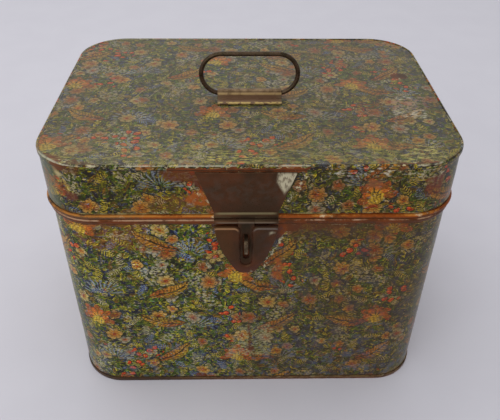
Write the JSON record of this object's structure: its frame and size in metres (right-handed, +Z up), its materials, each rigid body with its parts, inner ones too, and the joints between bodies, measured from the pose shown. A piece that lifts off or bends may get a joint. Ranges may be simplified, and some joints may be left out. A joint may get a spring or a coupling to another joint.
{
  "type": "sewing tin",
  "caption": "Rounded rectangular tin with a hinged slip-over lid, a wire bail handle on top and a hasp that drops over a staple on the front.",
  "frame": {"origin": "middle of the box's plan, on the surface that the tin stands on", "axes": "+X to the right and +Y to the back as seen from the hasp side, +Z up"},
  "size_m": [0.2348, 0.1824, 0.2064],
  "materials": {
    "printed_tin": "glossy varnish over a dense printed pattern, scuffed and crazed with age",
    "printed_top": "the same print under duller, hazier varnish, worn to brown at its rim",
    "base_tin": "brown lacquered tinplate, rubbed at its lower edge",
    "edge_wire": "dull iron wire",
    "handle_wire": "dark browned iron wire, rubbed brighter where it is held",
    "handle_strap": "brown lacquered sheet, rubbed to tan along its folds",
    "browned_steel": "dark brown lacquered sheet with rubbed edges",
    "staple_steel": "bare steel strip, rubbed by the flap",
    "hinge_steel": "brown lacquered sheet with rubbed knuckles",
    "pin_steel": "plain steel wire"
  },
  "bodies": {
    "box": {"box_wall": "printed_tin", "box_base": "base_tin", "staple": "staple_steel", "left_hinge_box_leaf": "hinge_steel", "right_hinge_box_leaf": "hinge_steel", "left_hinge_pin": "pin_steel", "right_hinge_pin": "pin_steel"},
    "lid": {"lid_wall": "printed_tin", "lid_top": "printed_top", "lid_edge_wire": "edge_wire", "handle_strap": "handle_strap", "hasp_plate": "browned_steel", "hasp_pin": "pin_steel", "left_hinge_lid_leaf": "hinge_steel", "right_hinge_lid_leaf": "hinge_steel"},
    "handle": {"handle_loop": "handle_wire"},
    "hasp": {"hasp": "browned_steel"}
  },
  "joints": [
    {"name": "lid_hinge", "type": "hinge", "parent": "box", "child": "lid", "pos_m": [0, 0.08845, 0.144], "axis": [-1, 0, 0], "range_deg": [0, 186]},
    {"name": "hasp_swing", "type": "hinge", "parent": "lid", "child": "hasp", "pos_m": [-0.0028, -0.0886, 0.1433], "axis": [-1, 0, 0], "range_deg": [0, 165]},
    {"name": "handle_swing", "type": "hinge", "parent": "lid", "child": "handle", "pos_m": [0, -0.0088, 0.1797], "axis": [1, 0, 0], "range_deg": [-88, 88]}
  ]
}
